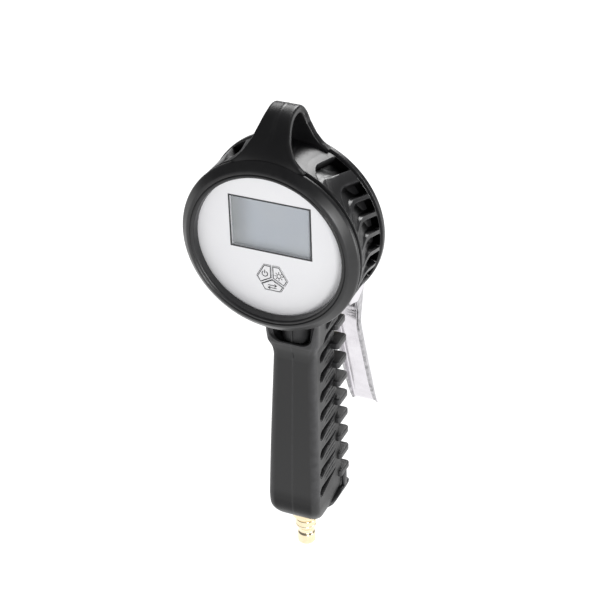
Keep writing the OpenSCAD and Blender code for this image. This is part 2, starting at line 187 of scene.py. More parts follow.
studio = {
    "floor": -0.4,
    "floorHalf": 9.0,
    "floorGlow": 1.0,
    "aim": (0, 0, 0.15),
    "sky": (0.2, 0.2, 0.205),
    # name, place, size, watts
    "lights": [
        ("backSoftbox", (-0.1, 1.3, 1.35), 1.1, 34.0),
        ("keyPanel", (0.95, -1.15, 0.45), 0.4, 11.0),
        ("sidePanel", (1.3, 0.1, 0.1), 0.5, 6.5),
    ],
}


def addStudio(s):
    floor = bpy.data.meshes.new("floor")
    half, level = s["floorHalf"], s["floor"]
    corners = [(-half, -half, level), (half, -half, level), (half, half, level), (-half, half, level)]
    floor.from_pydata(corners, [], [(0, 1, 2, 3)])
    plane = bpy.data.objects.new("floor", floor)
    bpy.context.scene.collection.objects.link(plane)
    paint = bpy.data.materials.new("floorPaint")
    paint.use_nodes = True
    shader = paint.node_tree.nodes["Principled BSDF"]
    shader.inputs["Base Color"].default_value = (0.25, 0.25, 0.25, 1)
    shader.inputs["Roughness"].default_value = 0.9
    shader.inputs["Emission Color"].default_value = (1, 1, 1, 1)
    shader.inputs["Emission Strength"].default_value = s["floorGlow"]
    floor.materials.append(paint)
    target = Vector(s["aim"])
    for name, place, size, watts in s["lights"]:
        lamp = bpy.data.lights.new(name, "AREA")
        lamp.size, lamp.energy = size, watts
        light = bpy.data.objects.new(name, lamp)
        bpy.context.scene.collection.objects.link(light)
        light.location = place
        light.rotation_euler = (target - Vector(place)).to_track_quat("-Z", "Y").to_euler()
    world = bpy.data.worlds.new("studioSky")
    bpy.context.scene.world = world
    world.use_nodes = True
    world.node_tree.nodes["Background"].inputs["Color"].default_value = (*s["sky"], 1)
    bpy.context.scene.view_settings.view_transform = "Standard"


addCamera(view)
addStudio(studio)
print("camera and studio ready")


def addNode(tree, kind, inputs=None, **settings):
    node = tree.nodes.new(kind)
    for key, value in settings.items():
        setattr(node, key, value)
    for key, value in (inputs or {}).items():
        if isinstance(value, bpy.types.NodeSocket):
            tree.links.new(value, node.inputs[key])
        else:
            node.inputs[key].default_value = value
    return node


def newGroup(name, inputs, outputs):
    group = bpy.data.node_groups.new(name, "ShaderNodeTree")
    for label, kind, value in inputs:
        socket = group.interface.new_socket(name=label, in_out="INPUT", socket_type=kind)
        if value is not None:
            socket.default_value = value
    for label, kind in outputs:
        group.interface.new_socket(name=label, in_out="OUTPUT", socket_type=kind)
    return group, group.nodes.new("NodeGroupInput"), group.nodes.new("NodeGroupOutput")


floatKind, vectorKind = "NodeSocketFloat", "NodeSocketVector"


# Moulded grain: small cells for the height, and large soft clouds for uneven shine
def makeMouldGrain():
    group, start, end = newGroup(
        "mouldGrain",
        [("Vector", vectorKind, None), ("Grain", floatKind, 2600.0), ("Cloud", floatKind, 60.0)],
        [("Height", floatKind), ("Cloud", floatKind)],
    )
    where = start.outputs["Vector"]
    cells = addNode(group, "ShaderNodeTexVoronoi", {"Vector": where, "Scale": start.outputs["Grain"]})
    fine = addNode(
        group, "ShaderNodeTexNoise", {"Vector": where, "Scale": start.outputs["Grain"], "Detail": 3.0}
    )
    both = addNode(
        group,
        "ShaderNodeMath",
        {0: cells.outputs["Distance"], 1: fine.outputs["Fac"]},
        operation="ADD",
    )
    cloud = addNode(
        group,
        "ShaderNodeTexNoise",
        {"Vector": where, "Scale": start.outputs["Cloud"], "Detail": 5.0, "Roughness": 0.6},
    )
    spread = addNode(
        group,
        "ShaderNodeMapRange",
        {"Value": cloud.outputs["Fac"], "From Min": 0.35, "From Max": 0.68},
    )
    group.links.new(both.outputs[0], end.inputs["Height"])
    group.links.new(spread.outputs["Result"], end.inputs["Cloud"])
    return group


# Rubbed edges and painted edge light: the piece's own edge value broken up by noise. The mask mixes in a
# colour that is a painted highlight on the rubbers, a painted dark reflection on the chrome lever, and a
# paler brass on the brass
def makeEdgeRubAndLight():
    group, start, end = newGroup(
        "edgeRubAndLight",
        [("Vector", vectorKind, None), ("Edge", floatKind, 0.0), ("Patch", floatKind, 240.0)],
        [("Mask", floatKind)],
    )
    noise = addNode(
        group,
        "ShaderNodeTexNoise",
        {"Vector": start.outputs["Vector"], "Scale": start.outputs["Patch"], "Detail": 4.0},
    )
    patch = addNode(
        group,
        "ShaderNodeMapRange",
        {"Value": noise.outputs["Fac"], "From Min": 0.3, "From Max": 0.65, "To Min": 0.35},
    )
    mask = addNode(
        group,
        "ShaderNodeMath",
        {0: patch.outputs["Result"], 1: start.outputs["Edge"]},
        operation="MULTIPLY",
        use_clamp=True,
    )
    group.links.new(mask.outputs[0], end.inputs["Mask"])
    return group


# Hairline marks: noise stretched many times along one direction, cut to thin streaks
def makeHairlines():
    group, start, end = newGroup(
        "hairlines",
        [("Vector", vectorKind, None), ("Scale", floatKind, 900.0), ("Stretch", vectorKind, (1, 1, 0.03))],
        [("Mask", floatKind), ("Height", floatKind)],
    )
    stretched = addNode(
        group,
        "ShaderNodeVectorMath",
        {0: start.outputs["Vector"], 1: start.outputs["Stretch"]},
        operation="MULTIPLY",
    )
    noise = addNode(
        group,
        "ShaderNodeTexNoise",
        {"Vector": stretched.outputs[0], "Scale": start.outputs["Scale"], "Detail": 4.0, "Roughness": 0.7},
    )
    streak = addNode(
        group,
        "ShaderNodeMapRange",
        {"Value": noise.outputs["Fac"], "From Min": 0.52, "From Max": 0.72},
    )
    group.links.new(streak.outputs["Result"], end.inputs["Mask"])
    group.links.new(noise.outputs["Fac"], end.inputs["Height"])
    return group


mouldGrain, edgeRubAndLight, hairlines = makeMouldGrain(), makeEdgeRubAndLight(), makeHairlines()


# A finish: two colours mixed by cloud, an edge colour on proud edges (a painted highlight where it is
# lighter than the base, a painted dark reflection where it is darker), painted shade on marked hollows,
# streaks, and bumps
def makeFinish(
    name,
    colour,
    second,
    rough=(0.4, 0.55),
    metallic=0.0,
    grain=2600.0,
    cloud=60.0,
    bump=0.15,
    depth=0.00003,
    rubAndPaintedLight=None,
    streaks=None,
    stretch=(1, 1, 0.03),
    streakColour=None,
    shader=None,
):
    material = bpy.data.materials.new(name)
    material.use_nodes = True
    tree = material.node_tree
    surface = tree.nodes["Principled BSDF"]
    surface.inputs["Metallic"].default_value = metallic
    for key, value in (shader or {}).items():
        surface.inputs[key].default_value = value
    where = addNode(tree, "ShaderNodeTexCoord").outputs["Object"]
    grainNode = addNode(tree, "ShaderNodeGroup", node_tree=mouldGrain)
    tree.links.new(where, grainNode.inputs["Vector"])
    grainNode.inputs["Grain"].default_value = grain
    grainNode.inputs["Cloud"].default_value = cloud
    base = addNode(
        tree,
        "ShaderNodeMix",
        {"Factor": grainNode.outputs["Cloud"], 6: (*colour, 1), 7: (*second, 1)},
        data_type="RGBA",
    ).outputs[2]
    shine = addNode(
        tree,
        "ShaderNodeMapRange",
        {"Value": grainNode.outputs["Cloud"], "To Min": rough[0], "To Max": rough[1]},
    ).outputs["Result"]
    height = grainNode.outputs["Height"]
    if streaks:
        lines = addNode(tree, "ShaderNodeGroup", node_tree=hairlines)
        tree.links.new(where, lines.inputs["Vector"])
        lines.inputs["Scale"].default_value = streaks
        lines.inputs["Stretch"].default_value = stretch
        if streakColour:
            base = addNode(
                tree,
                "ShaderNodeMix",
                {"Factor": lines.outputs["Mask"], 6: base, 7: (*streakColour, 1)},
                data_type="RGBA",
            ).outputs[2]
        shine = addNode(
            tree,
            "ShaderNodeMath",
            {0: lines.outputs["Mask"], 1: 0.12, 2: shine},
            operation="MULTIPLY_ADD",
        ).outputs[0]
        height = addNode(
            tree, "ShaderNodeMath", {0: lines.outputs["Height"], 1: height}, operation="ADD"
        ).outputs[0]
    if rubAndPaintedLight:
        # the edge colour is a painted highlight on the rubbers and a painted dark reflection on the chrome
        edge = addNode(tree, "ShaderNodeAttribute", attribute_name="edge").outputs["Fac"]
        rubAndLightMask = addNode(tree, "ShaderNodeGroup", node_tree=edgeRubAndLight)
        tree.links.new(where, rubAndLightMask.inputs["Vector"])
        tree.links.new(edge, rubAndLightMask.inputs["Edge"])
        base = addNode(
            tree,
            "ShaderNodeMix",
            {"Factor": rubAndLightMask.outputs["Mask"], 6: base, 7: (*rubAndPaintedLight, 1)},
            data_type="RGBA",
        ).outputs[2]
    if rubAndPaintedLight and not metallic:
        # below zero the attribute marks painted shade: there the surface turns metallic, so its dark base
        # colour gives no diffuse light and reads nearly black. This is painted shade for the hollows and for
        # the grip's sides and foot
        shadeMask = addNode(tree, "ShaderNodeMath", {0: edge, 1: -1.0}, operation="MULTIPLY", use_clamp=True)
        tree.links.new(shadeMask.outputs[0], surface.inputs["Metallic"])
    tree.links.new(base, surface.inputs["Base Color"])
    tree.links.new(shine, surface.inputs["Roughness"])
    bumps = addNode(
        tree, "ShaderNodeBump", {"Height": height, "Strength": bump, "Distance": depth}
    ).outputs["Normal"]
    tree.links.new(bumps, surface.inputs["Normal"])
    return material


# the rub colour on the rubbers is lighter than the base: a painted highlight on proud edges
bootRubber = makeFinish(
    "bootRubber", (0.0045, 0.0045, 0.005), (0.007, 0.007, 0.0075), (0.3, 0.4), rubAndPaintedLight=(0.05, 0.05, 0.053)
)
gripRubber = makeFinish(
    "gripRubber",
    (0.0055, 0.0055, 0.006),
    (0.0085, 0.0085, 0.009),
    (0.34, 0.46),
    cloud=45.0,
    rubAndPaintedLight=(0.06, 0.06, 0.064),
)
sealRubber = makeFinish("sealRubber", (0.008, 0.008, 0.008), (0.013, 0.013, 0.013), (0.5, 0.65), bump=0.1)
casePlastic = makeFinish(
    "casePlastic", (0.016, 0.016, 0.017), (0.022, 0.022, 0.023), (0.4, 0.5), grain=1800.0
)
castBlack = makeFinish(
    "castBlack",
    (0.01, 0.01, 0.011),
    (0.02, 0.02, 0.021),
    (0.45, 0.62),
    grain=1400.0,
    bump=0.3,
    depth=0.00008,
)
faceWhite = makeFinish(
    "faceWhite", (0.86, 0.86, 0.87), (0.83, 0.83, 0.85), (0.32, 0.42), grain=3000.0, cloud=25.0, bump=0.04
)
keyWhite = makeFinish(
    "keyWhite", (0.84, 0.84, 0.85), (0.8, 0.8, 0.82), (0.4, 0.5), grain=3600.0, cloud=90.0, bump=0.08
)
printInk = makeFinish(
    "printInk", (0.02, 0.02, 0.023), (0.05, 0.05, 0.055), (0.5, 0.6), grain=5000.0, cloud=700.0, bump=0.05
)
boardGreen = makeFinish(
    "boardGreen",
    (0.012, 0.09, 0.035),
    (0.02, 0.13, 0.05),
    (0.3, 0.4),
    streaks=420.0,
    stretch=(0.1, 1, 1),
    streakColour=(0.03, 0.2, 0.08),
)
cellWrap = makeFinish("cellWrap", (0.42, 0.28, 0.08), (0.5, 0.34, 0.1), (0.25, 0.35), cloud=120.0, bump=0.03)
brassBright = makeFinish(
    "brassBright",
    (0.93, 0.82, 0.6),
    (0.85, 0.71, 0.46),
    (0.14, 0.24),
    metallic=1.0,
    grain=1600.0,
    cloud=160.0,
    bump=0.06,
    rubAndPaintedLight=(0.9, 0.8, 0.58),
    streaks=1500.0,
    stretch=(0.05, 0.05, 1),
)
# the dark rub colour on the chrome is a painted dark reflection on proud edges and flanges
chromeLever = makeFinish(
    "chromeLever",
    (0.72, 0.7, 0.73),
    (0.64, 0.62, 0.65),
    (0.12, 0.22),
    metallic=1.0,
    grain=900.0,
    cloud=70.0,
    bump=0.05,
    rubAndPaintedLight=(0.2, 0.2, 0.205),
    streaks=600.0,
    stretch=(1, 0.05, 0.05),
)
steelPlain = makeFinish(
    "steelPlain",
    (0.5, 0.5, 0.51),
    (0.6, 0.6, 0.61),
    (0.25, 0.38),
    metallic=1.0,
    grain=1500.0,
    streaks=1200.0,
)
steelDark = makeFinish(
    "steelDark", (0.12, 0.12, 0.125), (0.18, 0.18, 0.185), (0.35, 0.5), metallic=1.0, grain=1500.0
)
aluminiumPlain = makeFinish(
    "aluminiumPlain", (0.6, 0.6, 0.61), (0.68, 0.68, 0.69), (0.28, 0.4), metallic=1.0, streaks=1400.0
)
washerRed = makeFinish(
    "washerRed", (0.3, 0.05, 0.025), (0.36, 0.07, 0.035), (0.6, 0.75), grain=1200.0, bump=0.3
)


# The display: pale grey-blue, with a painted shadow of the frame that darkens it towards its left and lower
# edges, and a faint weave
def makeDisplay():
    material = bpy.data.materials.new("displayGlass")
    material.use_nodes = True
    tree = material.node_tree
    surface = tree.nodes["Principled BSDF"]
    where = addNode(tree, "ShaderNodeTexCoord").outputs["Object"]
    axes = addNode(tree, "ShaderNodeSeparateXYZ", {"Vector": where})
    left = addNode(
        tree,
        "ShaderNodeMapRange",
        {"Value": axes.outputs["X"], "From Min": -0.0222, "From Max": -0.008},
        interpolation_type="SMOOTHSTEP",
    ).outputs["Result"]
    low = addNode(
        tree,
        "ShaderNodeMapRange",
        {"Value": axes.outputs["Z"], "From Min": 0.2103, "From Max": 0.2165, "To Min": 0.6},
        interpolation_type="SMOOTHSTEP",
    ).outputs["Result"]
    both = addNode(tree, "ShaderNodeMath", {0: left, 1: low}, operation="MULTIPLY").outputs[0]
    blue = addNode(
        tree,
        "ShaderNodeMix",
        {"Factor": both, 6: (0.20, 0.21, 0.215, 1), 7: (0.40, 0.43, 0.48, 1)},
        data_type="RGBA",
    ).outputs[2]
    grainNode = addNode(tree, "ShaderNodeGroup", node_tree=mouldGrain)
    tree.links.new(where, grainNode.inputs["Vector"])
    grainNode.inputs["Grain"].default_value = 5200.0
    grainNode.inputs["Cloud"].default_value = 55.0
    toned = addNode(
        tree,
        "ShaderNodeMix",
        {"Factor": grainNode.outputs["Cloud"], 6: blue, 7: (0.45, 0.46, 0.47, 1)},
        data_type="RGBA",
    )
    fade = addNode(
        tree, "ShaderNodeMath", {0: grainNode.outputs["Cloud"], 1: 0.3}, operation="MULTIPLY"
    ).outputs[0]
    tree.links.new(fade, toned.inputs["Factor"])
    tree.links.new(toned.outputs[2], surface.inputs["Base Color"])
    shine = addNode(
        tree, "ShaderNodeMapRange", {"Value": grainNode.outputs["Cloud"], "To Min": 0.3, "To Max": 0.38}
    ).outputs["Result"]
    tree.links.new(shine, surface.inputs["Roughness"])
    bumps = addNode(
        tree,
        "ShaderNodeBump",
        {"Height": grainNode.outputs["Height"], "Strength": 0.03, "Distance": 0.00002},
    )
    tree.links.new(bumps.outputs["Normal"], surface.inputs["Normal"])
    return material


# The window: a clear sheet with a little dust that only shows in its shine
def makeWindow():
    material = makeFinish(
        "windowClear", (0.8, 0.84, 0.86), (0.75, 0.79, 0.82), (0.05, 0.12), cloud=90.0, bump=0.02
    )
    surface = material.node_tree.nodes["Principled BSDF"]
    surface.inputs["Alpha"].default_value = 0.12
    return material


displayGlass, windowClear = makeDisplay(), makeWindow()
print("finishes ready")

finishOf = {
    "boot": bootRubber,
    "gauge_case": casePlastic,
    "face_plate": faceWhite,
    "lcd_window": windowClear,
    "lcd_frame": casePlastic,
    "lcd_panel": displayGlass,
    "key_power": keyWhite,
    "key_light": keyWhite,
    "key_unit": keyWhite,
    "key_switches": steelPlain,
    "circuit_board": boardGreen,
    "battery_cells": cellWrap,
    "battery_cover": casePlastic,
    "cover_screws": steelPlain,
    "pressure_sensor": brassBright,
    "sensor_seal": sealRubber,
    "valve_body": castBlack,
    "barrel_collar": aluminiumPlain,
    "hose_outlet": brassBright,
    "outlet_seal": washerRed,
    "inlet_plug": brassBright,
    "plug_seal": washerRed,
    "inlet_screen": steelPlain,
    "valve_gland": brassBright,
    "gland_seal": sealRubber,
    "valve_stem": brassBright,
    "poppet_seal": sealRubber,
    "stem_spring": steelPlain,
    "trigger_lever": chromeLever,
    "lever_pin": steelPlain,
    "pin_clip": steelDark,
    "grip_sleeve": gripRubber,
}
for name, piece in nodes.items():
    piece.data.materials.clear()
    piece.data.materials.append(finishOf[name])


boot = {
    "ribFront": -26.6,
    "ribBack": -3.0,
    "depth": 4.0,  # of a recess at its back
    "halfWidth": 4.15,  # of a recess, degrees
    "sweep": 8.5,  # degrees that a rib falls from front to back
    "arch": 11.0,  # degrees that a rib's front end hooks down
    "pitch": 12.0,
    "first": 51.0,  # degrees from the top to the first even recess
    "from": 44.0,  # degrees from the top where the even recesses start and stop
    "to": 161.0,
    "wideAt": 31.8,  # the first recess: its middle and half width, degrees
    "wideHalf": 5.3,
    "shallow": 0.3,  # depth of a recess at its front
    "wall": 1.5,  # degrees over which a recess falls
    "columns": 600,
}

# y and radius round the boot's section, with how far each corner is cut back
bootSection = [
    (-31.3, 45.1, 0.1),
    (-31.3, 40.8, 0.2),
    (-35.3, 41.2, 0.4),
    (-36.0, 41.9, 0.4),
    (-36.0, 42.8, 0.3),
    (-35.4, 43.25, 0.15),
    (-36.0, 43.8, 0.3),
    (-35.7, 45.3, 0.8),
    (-32.3, 49.1, 1.2),
    (-31.2, 49.5, 0.6),
    (-30.3, 49.4, 0.5),
    (-29.5, 47.1, 0.3),
    (-27.9, 47.1, 0.2),
    (-27.4, 49.1, 0.4),
    (-26.9, 49.2, 0.1),
    (-2.4, 49.2, 0.4),
    (-1.8, 47.7, 0.2),
    (-0.6, 47.7, 0.2),
    (-0.2, 49.6, 0.4),
    (2.4, 49.6, 0.6),
    (3.0, 48.8, 0.5),
    (3.0, 40.0, 0.3),
    (1.4, 40.0, 0.2),
    (1.4, 45.1, 0.2),
]


# A section turned about the face's axis. Where the ribs are, the columns lean with them, and each
# recess is pressed in: its depth grows with the way back, within a width that is round in front
def bootShell(b):
    corners = np.array(bootSection)
    line = softCorners(corners[:, :2], corners[:, 2])

    def gapAt(mid):
        inRibs = (mid[:, 0] > -27) & (mid[:, 0] < -2.2) & (mid[:, 1] > 48.5)
        return np.where(inRibs, 0.47, 2.2)

    line = fillIn(line, gapAt)
    y, radius = line[:, 0][:, None], line[:, 1][:, None]
    turn = np.linspace(-180, 180, b["columns"], endpoint=False)[None, :]
    side, sign = np.abs(turn), np.sign(turn)
    u = np.clip((y - b["ribFront"]) / (b["ribBack"] - b["ribFront"]), 0, 1)
    lean = b["sweep"] * (u - 0.5) + b["arch"] * np.clip(1 - u / 0.5, 0, 1) ** 2
    lean = lean * ease((side - 8) / 22) * ease((178 - side) / 14)
    off = (side - b["first"] + b["pitch"] / 2) % b["pitch"] - b["pitch"] / 2
    half = b["halfWidth"] * np.clip(1 - (1 - np.clip(u / 0.22, 0, 1)) ** 2, 0, 1) ** 0.5
    mask = ease((half - np.abs(off)) / b["wall"] + 0.5) * (side > b["from"]) * (side < b["to"])
    floor = b["shallow"] + (b["depth"] - b["shallow"]) * ease(u / 0.85) - 0.3 * off / b["halfWidth"]
    # the first recess is wider, and its front edge slants
    u1 = np.clip((y + 23.4 - 0.95 * (side - 31.5)) / 17.0, 0, 1)
    mask1 = ease((b["wideHalf"] - np.abs(side - b["wideAt"])) / 0.9 + 0.5) * ease(u1 / 0.07)
    floor1 = 0.5 + 3.0 * ease(u1 / 0.8)
    onRibs = (radius > 48.4) & (y > b["ribFront"]) & (y < b["ribBack"] + 0.4)
    end = ease((b["ribBack"] - y) / 0.5 + 0.5)
    press = (mask * floor + mask1 * floor1) * end * onRibs
    crown = 0.25 * (1 - (off / 6.0) ** 2) * onRibs * (1 - mask)  # ribs are a little round
    r = radius - press - 0.25 * onRibs + crown * 0.9
    angle = np.radians(sign * (side + lean))
    grid = np.stack([r * np.sin(angle), y + 0 * r, faceZ + r * np.cos(angle)], -1)
    # painted shade: the recesses' edge values fall below zero towards their deep backs, which darkens them;
    # proud edges get the painted highlight colour
    shadeMask = np.maximum(mask * ease((u - 0.1) / 0.55), 0.9 * mask1 * ease((u1 - 0.4) / 0.4)) * onRibs
    edge = proudEdges(grid, True, True, 1.0) * (1 - shadeMask) - shadeMask
    return [(grid, gridFaces(*r.shape, True, True), edge)]


hook = {
    # y and height above the face's centre along the strap's middle
    "path": [
        (-29.8, 45.6),
        (-28.2, 50.5),
        (-24.6, 56.0),
        (-20.4, 60.7),
        (-16.2, 64.2),
        (-12.0, 66.3),
        (-7.6, 67.1),
        (-3.4, 66.2),
        (-0.7, 63.2),
        (-0.3, 58.4),
        (-1.0, 52.0),
        (-1.4, 45.6),
    ],
    "heights": [44.0, 45.6, 48.5, 52.5, 56.0, 58.5, 61.8, 64.0, 66.0, 68.5],
    "halfWidths": [24.6, 21.4, 17.4, 13.9, 11.7, 10.3, 9.2, 8.5, 8.0, 7.4],
    "halfThick": 2.25,
    "round": 1.35,
}


# Unit columns round a rounded rectangle: where each starts from on the inner corner frame, and
# which way it points; sides hold extra columns
def roundedColumns(across, along, corner=7):
    turn = np.radians(np.linspace(0, 90, corner))
    parts = []
    for k, (cx, cy) in enumerate([(1, 1), (-1, 1), (-1, -1), (1, -1)]):
        a = turn + k * math.pi / 2
        parts.append(np.stack([np.full(corner, cx), np.full(corner, cy), np.cos(a), np.sin(a)], 1))
        n = across if k % 2 == 0 else along
        x, y, nx, ny = np.linspace(1, -1, n + 2)[1:-1], np.ones(n), 0, 1
        for _ in range(k):
            x, y, nx, ny = -y, x, -ny, nx
        parts.append(np.stack([x, y, np.full(n, nx), np.full(n, ny)], 1))
    return np.vstack(parts).astype(float)


# A rounded rectangle carried along the arch; its width follows the height like a bell, a thin
# mould line runs down the middle outside, and the inside is a little hollow
def hookStrap(h):
    path = throughPoints(h["path"], 150)
    ahead = np.gradient(path, axis=0)
    ahead /= np.linalg.norm(ahead, axis=1, keepdims=True)
    out = np.stack([-ahead[:, 1], ahead[:, 0]], 1)  # away from the opening
    cols = roundedColumns(26, 3)
    outerHeight = path[:, 1] + out[:, 1] * h["halfThick"]
    half = np.interp(outerHeight, h["heights"], h["halfWidths"])[:, None]
    half = np.minimum(half, np.interp(path[:, 1], h["heights"], h["halfWidths"])[:, None] + 0.6)
    x = cols[:, 0] * (half - h["round"]) + cols[:, 2] * h["round"]
    thick = cols[:, 1] * (h["halfThick"] - h["round"]) + cols[:, 3] * h["round"]
    thick = np.repeat(thick[None, :], len(path), 0)
    outside = (cols[:, 3] > 0.5)[None, :]
    thick = thick + outside * 0.16 * np.exp(-((x / 0.3) ** 2))
    inside = (cols[:, 3] < -0.5)[None, :]
    thick = thick - inside * 0.5 * np.clip(1 - (x / np.maximum(half - 1.2, 1)) ** 2, 0, 1)
    y = path[:, 0][:, None] + out[:, 0][:, None] * thick
    z = faceZ + path[:, 1][:, None] + out[:, 1][:, None] * thick
    grid = np.stack([x, y, z], -1)
    # proud edges and the mould line get the painted highlight colour
    edge = proudEdges(grid, False, True, 1.0, 1.4)
    ends = [np.repeat(grid[k].mean(0)[None, :], grid.shape[1], 0)[None] for k in (0, -1)]
    grid = np.concatenate([ends[0], grid, ends[1]])
    edge = np.concatenate([edge[:1] * 0, edge, edge[:1] * 0])
    return [(grid, gridFaces(*grid.shape[:2]), edge)]


putPiece("bootShell", bootShell(boot), bootRubber, "body", ["boot"], 48)
putPiece("hookStrap", hookStrap(hook), bootRubber, "body", (), 60)


grip = {
    # height, front face, back face, half width
    "levels": [
        (22.9, -7.4, 10.5, 9.6),
        (23.3, -9.2, 13.4, 11.4),
        (24.6, -11.6, 16.0, 13.0),
        (27.6, -14.3, 18.4, 14.4),
        (32.0, -16.4, 19.4, 15.2),
        (38.0, -17.1, 19.5, 15.4),
        (46.0, -16.7, 19.5, 15.3),
        (75.0, -14.5, 19.5, 14.5),
        (100.0, -12.3, 19.5, 13.7),
        (126.0, -10.0, 19.5, 12.8),
        (131.0, -9.6, 19.5, 12.7),
        (135.5, -9.9, 19.7, 13.2),
        (139.5, -11.0, 20.1, 14.5),
        (143.0, -11.8, 20.5, 15.2),
        (158.0, -12.6, 20.5, 16.0),
    ],
    "corner": 3.9,
    "slotStep": 11.95,
    "slotLow": 33.4,
    "slotFront": -11.3,
    "slotShift": 1.5,
    "slotHalf": 2.8,
    "slotDepth": 3.2,
    "slotLean": 0.16,
    "slotLength": 19.0,
    "ridge": 0.42,
    "rim": 158.0,
    "lip": 142.0,  # bottom of the mouth's U
    "sideShade": 0.5,  # how far the sides and the foot are painted darker, a painted shade, 0 to 1
    "footShade": 0.65,
}


# Rows climb the outside between levels, roll over the rim and go down inside the mouth. The rim
# dips in front in a U. On the sides, slots and feather ridges press in along the wall's normal
def gripShell(g):
    cols = roundedColumns(56, 84, 9)
    cx, cy, nx, ny = (cols[:, k][None, :] for k in range(4))
    levels = np.array(g["levels"])
    fine = throughPoints(levels, 400)
    order = np.argsort(fine[:, 0])
    fine = fine[order]
    rim = g["rim"]
    # the U of the mouth: flat, then a quarter circle, then straight up
    xTop = np.abs(cx * (15.6 - g["corner"]) + nx * g["corner"])
    bend = 7 - np.sqrt(np.clip(49 - (np.minimum(xTop, 12.9) - 6) ** 2, 0, 49))
    lip = g["lip"] + np.where(xTop < 6, 0, bend)
    lip = lip + 9.0 * ease((xTop - 12.4) / 2.2)
    rimHeight = np.where(ny < -0.05, np.minimum(lip, rim), rim)
    rimHeight = np.where(cy > 0, rim, rimHeight)
    t = np.concatenate([np.linspace(0, 0.07, 30)[:-1], np.linspace(0.07, 1, 285)])[:, None]
    z = 22.9 + (rimHeight - 22.9) * t
    front, back, half = (np.interp(z, fine[:, 0], fine[:, k]) for k in (1, 2, 3))
    r = g["corner"] + 1.6 * ease((34 - z) / 10)
    middle, reach = (front + back) / 2, (back - front) / 2
    x = cx * (half - r) + nx * r
    y = middle + cy * (reach - r) + ny * r
    press, shadeMask = np.zeros_like(z), np.zeros_like(z)
    sideways = ease((np.abs(nx) - 0.75) / 0.2)
    for i in range(1, 11):
        endY = g["slotFront"] + g["slotShift"] * i
        endZ = min(g["slotLow"] + g["slotStep"] * i, 150.0)
        p = y - endY
        q = z - endZ - g["slotLean"] * p
        width = g["slotHalf"] * (1 - 0.92 * np.clip(p / g["slotLength"], 0, 1) ** 0.9)
        away = np.where(p < 0, np.hypot(p, q) - g["slotHalf"], np.abs(q) - width)
        away = np.where(p > g["slotLength"], np.maximum(away, p - g["slotLength"]), away)
        press = np.maximum(press, np.maximum(g["slotDepth"], half - 11) * ease(-away / 0.7 + 0.35))
        shadeMask = np.maximum(shadeMask, ease(-away / 0.7 + 0.5))
        press = press - 0.3 * np.exp(-(((away - 0.75) / 0.4) ** 2)) * ease((3 - p) / 4)
        # three feather ridges above each slot, strongest towards the back
        for k, rise in enumerate((4.2, 6.9, 9.4)):
            gap = q - rise + 0.05 * (p - 12)
            strength = ease((p - 1.5 + 1.2 * k) / 6) * ease((20 - p) / 3)
            press = press + g["ridge"] * np.exp(-((gap / 0.42) ** 2)) * strength
            press = press - 0.6 * g["ridge"] * np.exp(-(((gap + 0.95) / 0.45) ** 2)) * strength
    press = press * sideways * ease((z - 33) / 5)
    # painted shade: the slots, the backs of the sides and the foot are darkened through negative edge values
    shadeMask = np.maximum(shadeMask, g["sideShade"] * ease((y + 9) / 4)) * sideways * ease((z - 33) / 5)
    shadeMask = np.maximum(shadeMask, g["footShade"] * ease((47 - z) / 13))
    seam = 0.1 * np.exp(-((x / 0.25) ** 2)) * (ny < -0.9) * ease((z - 23) / 2)
    x, y = x - press * nx, y - press * ny - seam
    outer = np.stack([x, y, z], -1)
    top = outer[-1]
    inward = np.stack([nx[0], ny[0], 0 * nx[0]], 1)
    rolls = [top + np.array([0, 0, 0.35]) - inward * 0.4, top + np.array([0, 0, 0.35]) - inward * 1.0]
    inner = np.stack([cx[0] * 10.3 + nx[0] * 2.5, 3.75 + cy[0] * 11.05 + ny[0] * 2.5, top[:, 2] - 0.2], 1)
    rolls.append(inner)
    rolls.append(inner * [1, 1, 0] + [0, 0, 141.0])
    angle = np.arctan2(inner[:, 1] - 4.4, inner[:, 0])
    ring = np.stack([9.7 * np.cos(angle), 4.4 + 9.7 * np.sin(angle), np.full(len(angle), 141.0)], 1)
    rolls.append(ring)
    rolls.append(ring * [0.4, 0.4, 1] + [0, 2.6, -2.0])
    hole = np.arctan2(outer[0, :, 1], outer[0, :, 0])
    mouth = np.stack([9.0 * np.cos(hole), 9.0 * np.sin(hole), np.full(len(hole), 22.85)], 1)
    deep = mouth + np.array([0, 0, 3.2])
    below = [deep * [0.02, 0.02, 1], deep, mouth]
    grid = np.concatenate([np.stack(below), outer, np.stack(rolls)])
    last = grid[-1].mean(0)
    grid = np.concatenate([grid, np.repeat(last[None, :], grid.shape[1], 0)[None]])
    edge = proudEdges(grid, False, True, 1.0)
    # proud edges and ridges get the painted highlight colour; the painted shade mask pulls the edge values
    # below zero
    outerRows = slice(len(below), len(below) + len(outer))
    edge[outerRows] = edge[outerRows] * (1 - 0.5 * shadeMask) - shadeMask * (1 - edge[outerRows])
    return [(grid, gridFaces(*grid.shape[:2]), edge)]


fins = {
    "count": 10,
    "low": 26.4,
    "step": 12.5,
    "thick": 4.0,
    "half": 17.0,
    "front": 13.2,
    "back": 25.5,
    "corner": 1.7,
}


